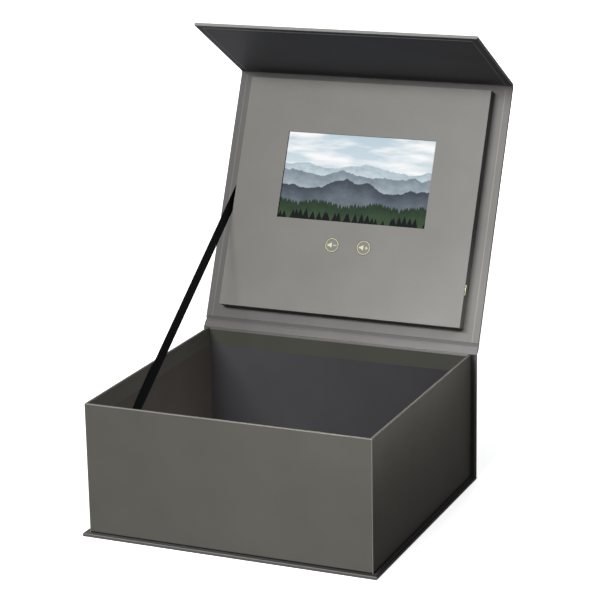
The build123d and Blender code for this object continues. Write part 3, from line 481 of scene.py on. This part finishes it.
def spine_papers():
    """An outer strip that bows over the spine's gap and an inner one that folds into the lid's groove."""
    half = PAPER / 2
    spine_back = Vector((0, RIM_HIGH[1] - half, RIM))
    lid_low = on_lid(0, LID_GAP, half - CASE_THICK)
    line = bowed(spine_back, lid_low, HINGE_BOW, STEPS)
    outer = strip("hinge_paper_outside", line, PAPER, CASE_HALF, outer_paper)
    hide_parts("lid_hinge_paper")
    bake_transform(outer)

    lift = RIM + half
    fold = Vector((0, TRAY_BACK + HINGE_LEAN, RIM + HINGE_LEAN))
    corners = [
        Vector((0, TRAY_BACK, lift)), Vector((0, TRAY_BACK + CASE_THICK / 4, lift)), fold,
        fold + Vector((0, GROOVE_REACH, PAPER)), on_lid(0, LID_GAP - PAPER, -half),
    ]
    line = rounded(corners, GROOVE_ROUND, CORNER_STEPS)
    inner = strip("hinge_paper_inside", line, PAPER, CASE_HALF, inner_paper)
    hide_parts("lid_hinge_liner")
    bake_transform(inner)


def turn_over_rim():
    """The inner strip's end, glued over the rear rim and down inside it."""
    half = PAPER / 2
    wall = 2.5 * MM
    inside = TRAY_BACK - wall
    line = [
        Vector((0, inside - half, RIM - RIM_OVERHANG)), Vector((0, inside - half, RIM + half)),
        Vector((0, TRAY_BACK, RIM + half)),
    ]
    over_rim = strip("rim_paper", line, PAPER, TRAY_HIGH.x - wall, inner_paper)
    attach(over_rim, "box")


def fold_papers():
    """Two strips at the flap's fold: the outer one bends round it, the inner one follows its crease."""
    half = PAPER / 2
    lid_end = (FLAP_AXIS - LID_AXIS).length - FOLD_GAP
    crease = FLAP_AXIS - (LID_OUT + FLAP_OUT) * half / (1 + LID_OUT.dot(FLAP_OUT))
    for name, depth, node, finish, creased in (
        ("fold_paper_outside", half - CASE_THICK, "flap_hinge_paper", outer_paper, False),
        ("fold_paper_inside", -half, "flap_hinge_liner", inner_paper, True),
    ):
        start = on_lid(0, lid_end, depth)
        end = on_flap(0, FOLD_GAP, depth)
        if creased:
            line = rounded([start, crease, end], FOLD_ROUND, CORNER_STEPS)
        else:
            line = arc(start, end, LID_UP, STEPS)
        made = strip(name, line, PAPER, CASE_HALF, finish)
        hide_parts(node)
        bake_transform(made)


spine_papers()
turn_over_rim()
fold_papers()


# Tray lining. Uncoated dark grey paper glued over the floor and up the walls before the outer paper is
# turned down over it. It is matt, with short fibres. Painted light: the lining on the left wall is painted
# paler and browner, and the rest darker towards the right.


def plain(name, colour, roughness, metallic=0.0, grain_mm=0.4, grain=0.06, bump=0.1, gloss=0.3):
    """A plain finish with a fine grain in its colour and relief. Real grains are a few hundredths of a
    millimetre wide and are drawn coarser to show."""
    made = bpy.data.materials.new(name)
    made.use_nodes = True
    tree = made.node_tree
    shader = tree.nodes["Principled BSDF"]
    place = add(tree, "ShaderNodeTexCoord").outputs["Object"]
    fine = add(tree, "ShaderNodeTexNoise", {"Vector": place, "Scale": 1 / (grain_mm * MM), "Detail": 4})
    level = add(tree, "ShaderNodeMapRange",
                {"Value": fine.outputs[0], 1: 0.3, 2: 0.7, 3: 1 - grain, 4: 1 + grain})
    shade = add(tree, "ShaderNodeVectorMath", {0: linear(colour)[:3], 1: level.outputs[0]},
                operation="MULTIPLY")
    tree.links.new(shade.outputs[0], shader.inputs["Base Color"])
    relief = add(tree, "ShaderNodeBump", {"Height": fine.outputs[0], "Strength": bump, "Distance": 0.05 * MM})
    tree.links.new(relief.outputs[0], shader.inputs["Normal"])
    shader.inputs["Roughness"].default_value = roughness
    shader.inputs["Metallic"].default_value = metallic
    shader.inputs["Specular IOR Level"].default_value = gloss
    return made


LEFT_WALL = Vector((TRAY_LOW.x + WALL_DEPTH, 0, 0))
# Painted light: the left wall is painted paler and browner, and the lining darker towards the right.
lining_paper = paper("uncoated_lining_paper", "#4f4e50", "#3f3e42",
                     behind=[(LEFT_WALL, (1, 0, 0), "#5c5752")])
dress(lining_paper, "tray_lining", "base_lining", "spine_lining")


# Greyboard. Compressed waste paper, 2 and 2.5 mm thick, die-cut and covered, so that it shows only at raw
# cut ends. It is matt and grey-brown, with paler and darker flecks.

dress(
    plain("greyboard", "#8c8880", 0.9, grain_mm=0.8, grain=0.15, bump=0.4),
    "base_board", "spine_board", "lid_board", "flap_board", "tray_bottom_board", "tray_front_wall",
    "tray_back_wall", "tray_left_wall", "tray_right_wall", "panel_frame_top", "panel_frame_bottom",
    "panel_frame_left", "panel_frame_right", "panel_face_board",
)


# Ribbon stay. Black single-face satin ribbon, 12 mm wide, that stops the lid. Its lower tab is glued to
# the tray's left wall and its upper tab is folded flat under the display panel's left edge.

RIBBON_WIDTH = 12.0 * MM
RIBBON_THICK = 0.3 * MM
RIBBON_TAB = 22.0 * MM
RIBBON_LEAD = 15.0 * MM
RIBBON_LOW = Vector((-133.3, -35.7, 92.0)) * MM
RIBBON_RISE = 138.2 * MM
RIBBON_SIDE = 128.0 * MM
RIBBON_TWIST = math.radians(-7.6)


def satin():
    """Black satin: a soft dark sheen over fine ribs across the ribbon, read from the ribbon's own map."""
    made = bpy.data.materials.new("satin_ribbon")
    made.use_nodes = True
    tree = made.node_tree
    shader = tree.nodes["Principled BSDF"]
    rib = 0.986 * MM  # real ribs are 0.3 mm apart; drawn coarser to show
    fibre = 0.25 * MM
    place = add(tree, "ShaderNodeUVMap", uv_map="weave")
    # A wave node's bands repeat every tau / 20.
    ribs = add(tree, "ShaderNodeTexWave",
               {"Vector": place.outputs[0], "Scale": math.tau / (20 * rib), "Distortion": 0.6},
               bands_direction="Y")
    fibres = add(tree, "ShaderNodeTexNoise", {"Vector": place.outputs[0], "Scale": 1 / fibre, "Detail": 3})
    mixed = add(tree, "ShaderNodeMix", {"Factor": 0.4, 2: ribs.outputs[1], 3: fibres.outputs[0]})
    shade = add(tree, "ShaderNodeMix",
                {"Factor": mixed.outputs[0], 6: linear("#050607"), 7: linear("#121416")}, data_type="RGBA")
    tree.links.new(shade.outputs[2], shader.inputs["Base Color"])
    relief = add(tree, "ShaderNodeBump", {"Height": mixed.outputs[0], "Strength": 0.3, "Distance": 0.08 * MM})
    tree.links.new(relief.outputs[0], shader.inputs["Normal"])
    shader.inputs["Roughness"].default_value = 0.5
    shader.inputs["Specular IOR Level"].default_value = 0.1
    return made


def ribbon_edges():
    """The ribbon's two edges from its lower tab to its upper one, as matching lists of points."""
    high = on_lid(-RIBBON_SIDE, RIBBON_RISE, 0)
    run = (high - RIBBON_LOW).normalized()
    on_wall = Vector((0, run.y, run.z)).normalized()
    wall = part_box("tray_lining")[0][0] + PAPER
    foot = Vector((wall + RIBBON_THICK / 2, RIBBON_LOW.y, RIBBON_LOW.z)) - on_wall * RIBBON_LEAD
    flat = ACROSS.cross(on_wall) * RIBBON_WIDTH / 2
    turned = Matrix.Rotation(RIBBON_TWIST, 3, run) @ ACROSS.cross(run) * RIBBON_WIDTH / 2
    edges = []
    lead_steps, run_steps, tab_steps = 6, 48, 5
    for side in (-1, 1):
        line = [
            foot + flat * side - on_wall * RIBBON_TAB * (1 - step / tab_steps) for step in range(tab_steps)
        ]
        for step in range(lead_steps):
            share = step / lead_steps
            eased = share * share * (3 - 2 * share)
            middle = foot + on_wall * RIBBON_LEAD * share
            middle.x += (RIBBON_LOW.x - foot.x) * eased
            line.append(middle + flat.lerp(turned, eased) * side)
        start = RIBBON_LOW + turned * side
        reach = (LID_AXIS + LID_OUT * RIBBON_THICK / 2 - start).dot(LID_OUT) / run.dot(LID_OUT)
        crease = start + run * reach
        line += [start.lerp(crease, step / run_steps) for step in range(run_steps)]
        edges.append((line, crease))
    crease_line = (edges[1][1] - edges[0][1]).normalized()
    share = crease_line.dot(run)
    inward = LID_OUT.cross(crease_line)
    inward *= math.copysign(1, inward.x)
    onward = crease_line * share + inward * math.sqrt(1 - share ** 2)
    for line, crease in edges:
        line += [crease + onward * RIBBON_TAB * step / tab_steps for step in range(tab_steps + 1)]
    return [line for line, crease in edges]


def lay_ribbon():
    """Ribbon woven flat between its two edges, then given its thickness."""
    left, right = ribbon_edges()
    columns = 8
    points = [a.lerp(b, column / columns) for a, b in zip(left, right) for column in range(columns + 1)]
    step = columns + 1
    starts = [row * step + column for row in range(len(left) - 1) for column in range(columns)]
    faces = [(start, start + 1, start + step + 1, start + step) for start in starts]
    ribbon = new_piece("ribbon", points, faces, satin())
    lengths = [0.0]
    for before, after in zip(left, left[1:]):
        lengths.append(lengths[-1] + (after - before).length)
    weave = ribbon.data.uv_layers.new(name="weave")
    for loop in ribbon.data.loops:
        row, column = divmod(loop.vertex_index, step)
        weave.data[loop.index].uv = (column / columns * RIBBON_WIDTH, lengths[row])
    thick = ribbon.modifiers.new("thickness", "SOLIDIFY")
    thick.thickness = RIBBON_THICK
    thick.offset = 0
    return ribbon, lengths[-1]


ribbon, ribbon_length = lay_ribbon()
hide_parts("ribbon_stay")
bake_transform(ribbon)


# Display. A 7 inch liquid crystal module behind the paper's window. It shows a generic hill landscape:
# pale sky, grey-blue ridges and dark woods, lit from behind the polariser.

VIEW_WIDTH = 154.0 * MM
VIEW_HEIGHT = 86.0 * MM
VIEW_RISE = 156.0 * MM
GLASS_FRONT = 8.1 * MM


def picture():
    """Lit picture: sky with thin cloud, ridges that darken towards the eye, and a row of firs in front."""
    made = bpy.data.materials.new("lit_liquid_crystal")
    made.use_nodes = True
    tree = made.node_tree
    shader = tree.nodes["Principled BSDF"]
    place = add(tree, "ShaderNodeUVMap", uv_map="view").outputs[0]
    parts = add(tree, "ShaderNodeSeparateXYZ", {0: place})
    across, up = parts.outputs[0], parts.outputs[1]
    stretched = add(tree, "ShaderNodeMapping", {"Vector": place, "Scale": (2.2, 6.0, 1.0)})
    cloud = add(tree, "ShaderNodeTexNoise", {"Vector": stretched.outputs[0], "Scale": 1.3, "Detail": 5})
    thin = add(tree, "ShaderNodeMapRange", {"Value": cloud.outputs[0], 1: 0.42, 2: 0.62})
    sky = add(tree, "ShaderNodeMix", {"Factor": up, 6: linear("#eef3f5"), 7: linear("#c0d4df")},
              data_type="RGBA")
    shown = add(tree, "ShaderNodeMix", {"Factor": thin.outputs[0], 6: sky.outputs[2], 7: linear("#fdfefe")},
                data_type="RGBA")
    slope = add(tree, "ShaderNodeTexNoise", {"Vector": place, "Scale": 14.0, "Detail": 6, "Roughness": 0.65})
    relief = add(tree, "ShaderNodeMapRange", {"Value": slope.outputs[0], 1: 0.3, 2: 0.7, 3: 0.8, 4: 1.2})
    # Each ridge: its lowest height, its swing, its pattern's scale and place, the height of its firs, and its
    # colours at the crest and in the mist at its foot; heights are shares of the view.
    for level, swing, scale, seed, firs, ridge_colour, foot_colour in (
        (0.50, 0.26, 2.1, 3.1, 0.0, "#b4c4cd", "#d5dfe3"),
        (0.40, 0.30, 2.6, 11.4, 0.0, "#7f8d98", "#a9b5bc"),
        (0.27, 0.30, 3.0, 23.7, 0.0, "#3f4651", "#6b747d"),
        (0.13, 0.22, 3.6, 41.9, 0.03, "#26382a", "#3d5138"),
        (0.01, 0.20, 5.5, 57.2, 0.09, "#0b0e10", "#15191a"),
    ):
        along = add(tree, "ShaderNodeMath", {0: across, 1: seed}, operation="ADD")
        ridge = add(tree, "ShaderNodeTexNoise",
                    {"W": along.outputs[0], "Scale": scale, "Detail": 6, "Roughness": 0.55},
                    noise_dimensions="1D")
        crest = add(tree, "ShaderNodeMath", {0: ridge.outputs[0], 1: swing, 2: level},
                    operation="MULTIPLY_ADD")
        if firs:
            row = add(tree, "ShaderNodeTexVoronoi", {"W": along.outputs[0], "Scale": 2.4 / firs},
                      voronoi_dimensions="1D")
            crest = add(tree, "ShaderNodeMath",
                        {0: row.outputs["Distance"], 1: -2 * firs, 2: crest.outputs[0]},
                        operation="MULTIPLY_ADD")
        edge = add(tree, "ShaderNodeMath", {0: crest.outputs[0], 1: up}, operation="SUBTRACT")
        inside = add(tree, "ShaderNodeMapRange", {"Value": edge.outputs[0], 1: 0.0, 2: 0.008})
        mist = add(tree, "ShaderNodeMapRange", {"Value": edge.outputs[0], 1: 0.0, 2: 0.2})
        body = add(tree, "ShaderNodeMix",
                   {"Factor": mist.outputs[0], 6: linear(ridge_colour), 7: linear(foot_colour)},
                   data_type="RGBA")
        lit = add(tree, "ShaderNodeVectorMath", {0: body.outputs[2], 1: relief.outputs[0]},
                  operation="MULTIPLY")
        shown = add(tree, "ShaderNodeMix",
                    {"Factor": inside.outputs[0], 6: shown.outputs[2], 7: lit.outputs[0]}, data_type="RGBA")
    tree.links.new(shown.outputs[2], shader.inputs["Emission Color"])
    shader.inputs["Emission Strength"].default_value = 0.95
    shader.inputs["Base Color"].default_value = linear("#08090a")
    shader.inputs["Roughness"].default_value = 0.6
    shader.inputs["Specular IOR Level"].default_value = 0.05
    return made


def light_picture():
    """The lit area of the display, a film on the front of its glass that runs a little past the window."""
    lift = 0.01 * MM
    film = 0.05 * MM
    border = 1.0 * MM
    wide = VIEW_WIDTH / 2 + border
    high = VIEW_HEIGHT / 2 + border
    sides = [(-wide, -high), (wide, -high), (wide, high), (-wide, high)]
    front = [on_lid(x, VIEW_RISE + y, GLASS_FRONT + film) for x, y in sides]
    back = [on_lid(x, VIEW_RISE + y, GLASS_FRONT + lift) for x, y in sides]
    faces = [(0, 1, 2, 3), (7, 6, 5, 4), (0, 4, 5, 1), (1, 5, 6, 2), (2, 6, 7, 3), (3, 7, 4, 0)]
    made = new_piece("display_picture", front + back, faces, picture())
    view = made.data.uv_layers.new(name="view")
    for loop in made.data.loops:
        x, y = sides[loop.vertex_index % 4]
        view.data[loop.index].uv = (x / VIEW_WIDTH + 0.5, y / VIEW_HEIGHT + 0.5)
    outward(made)
    return made


shown_picture = light_picture()
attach(shown_picture, "lid")
# Polariser film on glass: near black and smooth, with small clear reflections.
dress(plain("polariser_glass", "#0a0b0c", 0.2), "display_glass")
# Pressed sheet steel: grey, with soft broad reflections.
dress(plain("pressed_steel", "#a9abac", 0.35, metallic=1.0), "display_bezel")
# Steel with a thin gold plating: a pale brass tone at the socket's mouth.
dress(plain("gilt_steel", "#a8a187", 0.35, metallic=1.0), "usb_socket")


# Volume buttons. Discs cut from the panel's own paper and board; each has a ring and a small
# loudspeaker with a minus or a plus, hot-stamped in pale gold foil.

BUTTON_RISE = 89.6 * MM
BUTTON_PLACES = {"volume_down": -15.0 * MM, "volume_up": 18.0 * MM}
RING_RADIUS = 6.5 * MM
RING_LINE = 0.85 * MM
FOIL = 0.04 * MM
# Outlines of the signs, in millimetres from the button's middle.
SPEAKER_SIGN = ((-4.6, -0.8), (-3.1, -0.8), (-0.3, -2.7), (-0.3, 2.7), (-3.1, 0.8), (-4.6, 0.8))
MINUS_SIGN = ((1.0, -0.33), (4.5, -0.33), (4.5, 0.33), (1.0, 0.33))
PLUS_SIGN = ((1.3, -0.33), (2.57, -0.33), (2.57, -1.6), (3.23, -1.6), (3.23, -0.33), (4.5, -0.33),
             (4.5, 0.33), (3.23, 0.33), (3.23, 1.6), (2.57, 1.6), (2.57, 0.33), (1.3, 0.33))


def foil_finish():
    """Hot-stamped pale gold foil: pale and half matt, slightly pitted by the paper's grain under it."""
    return plain("gold_foil", "#cbc6a2", 0.6, metallic=0.2, grain_mm=0.3, grain=0.08, bump=0.2, gloss=0.1)


def ring_tree():
    """Geometry nodes for a flat ring: a circle with a low rectangular section carried round it."""
    tree = bpy.data.node_groups.new("foil_ring", "GeometryNodeTree")
    for name, kind in (
        ("Radius", "NodeSocketFloat"), ("Line", "NodeSocketFloat"),
        ("Thickness", "NodeSocketFloat"), ("Material", "NodeSocketMaterial"),
    ):
        tree.interface.new_socket(name, in_out="INPUT", socket_type=kind)
    tree.interface.new_socket("Geometry", in_out="OUTPUT", socket_type="NodeSocketGeometry")
    given = add(tree, "NodeGroupInput").outputs
    round_line = add(tree, "GeometryNodeCurvePrimitiveCircle", {"Resolution": 64, "Radius": given["Radius"]})
    section = add(tree, "GeometryNodeCurvePrimitiveQuadrilateral",
                  {"Width": given["Line"], "Height": given["Thickness"]})
    swept = add(tree, "GeometryNodeCurveToMesh",
                {"Curve": round_line.outputs[0], "Profile Curve": section.outputs[0]})
    real = add(tree, "GeometryNodeRealizeInstances", {0: swept.outputs[0]})
    coated = add(tree, "GeometryNodeSetMaterial", {0: real.outputs[0], "Material": given["Material"]})
    add(tree, "NodeGroupOutput", {0: coated.outputs[0]})
    return tree


def grow(name, tree, values):
    """Plain mesh object from a geometry node tree and its input values."""
    carrier = bpy.data.objects.new("carrier", bpy.data.meshes.new("carrier"))
    bpy.context.scene.collection.objects.link(carrier)
    modifier = carrier.modifiers.new("grow", "NODES")
    modifier.node_group = tree
    for item in tree.interface.items_tree:
        if item.in_out == "INPUT" and item.name in values:
            modifier[item.identifier] = values[item.name]
    ready = carrier.evaluated_get(bpy.context.evaluated_depsgraph_get())
    mesh = bpy.data.meshes.new_from_object(ready)
    bpy.data.objects.remove(carrier)
    mesh.name = name
    made = bpy.data.objects.new(name, mesh)
    bpy.context.scene.collection.objects.link(made)
    return made


def foil_sign(name, outline, place, material):
    """A flat sign of foil on a button, from its outline in millimetres."""
    count = len(outline)
    top = [on_lid(place + x * MM, BUTTON_RISE + y * MM, PANEL_THICK + FOIL) for x, y in outline]
    low = [on_lid(place + x * MM, BUTTON_RISE + y * MM, PANEL_THICK) for x, y in outline]
    faces = [tuple(range(count)), tuple(range(2 * count - 1, count - 1, -1))]
    faces += [(at, count + at, count + (at + 1) % count, (at + 1) % count) for at in range(count)]
    made = new_piece(name, top + low, faces, material)
    outward(made)
    return made


def stamp_buttons():
    """Ring, loudspeaker and minus or plus on each button."""
    gold = foil_finish()
    ring = ring_tree()
    to_lid = Matrix((ACROSS, LID_UP, LID_OUT)).transposed().to_4x4()
    sizes = {"Radius": RING_RADIUS, "Line": RING_LINE, "Thickness": FOIL, "Material": gold}
    for name, sign in (("volume_down", MINUS_SIGN), ("volume_up", PLUS_SIGN)):
        place = BUTTON_PLACES[name]
        hoop = grow(name + "_ring", ring, sizes)
        middle = on_lid(place, BUTTON_RISE, PANEL_THICK + FOIL / 2)
        hoop.data.transform(Matrix.Translation(middle) @ to_lid)
        for piece in (
            hoop,
            foil_sign(name + "_loudspeaker", SPEAKER_SIGN, place, gold),
            foil_sign(name + "_sign", sign, place, gold),
        ):
            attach(piece, name + "_button")


stamp_buttons()


# Electronics. Soldered circuit boards, a foil-pouch cell, a moulded loudspeaker and their leads,
# taped or soldered inside the closed panel, and nickel-plated magnets in the boards.

for finish, nodes in (
    # Green lacquer over copper and fibreglass: smooth, with a soft gloss.
    (plain("solder_mask", "#1f4f38", 0.35), ("driver_board", "button_board")),
    # Black moulded epoxy and plastic: half matt.
    (plain("moulded_epoxy", "#1b1b1c", 0.5), (
        "board_parts", "hall_sensor", "volume_down_switch", "volume_up_switch", "volume_down_plunger",
        "volume_up_plunger",
    )),
    # White moulded nylon: half matt and slightly warm.
    (plain("moulded_nylon", "#e4e4e0", 0.5), ("display_backlight", "flex_connector")),
    # Amber film: smooth, with a clear gloss.
    (plain("polyimide_film", "#b9772a", 0.3), ("display_flex",)),
    # Aluminium foil under clear film: dull silver.
    (plain("foil_pouch", "#b6b8ba", 0.35, metallic=0.8), ("battery",)),
    # Black foam: matt, pitted by its cut cells.
    (plain("closed_cell_foam", "#2b2b2c", 0.9, grain_mm=0.7, bump=0.5), (
        "display_pads", "board_pads", "button_pad",
    )),
    # Black woven tape: matt.
    (plain("cloth_tape", "#1c1c1d", 0.7), ("display_tape",)),
    # Black moulded basket of the loudspeaker: half matt.
    (plain("moulded_basket", "#222223", 0.5), ("speaker",)),
    # Pressed paper pulp: matt and slightly rough.
    (plain("pressed_cone_paper", "#2e2d2c", 0.85, bump=0.3), ("speaker_cone",)),
    # Red vinyl sleeve on the leads: smooth.
    (plain("wire_jacket", "#a32c28", 0.4), ("battery_leads", "speaker_leads", "button_leads")),
    # Bright nickel: clear reflections.
    (plain("nickel_plate", "#b9bbbd", 0.2, metallic=1.0), ("tray_magnets", "trigger_magnet", "flap_magnets")),
):
    dress(finish, *nodes)
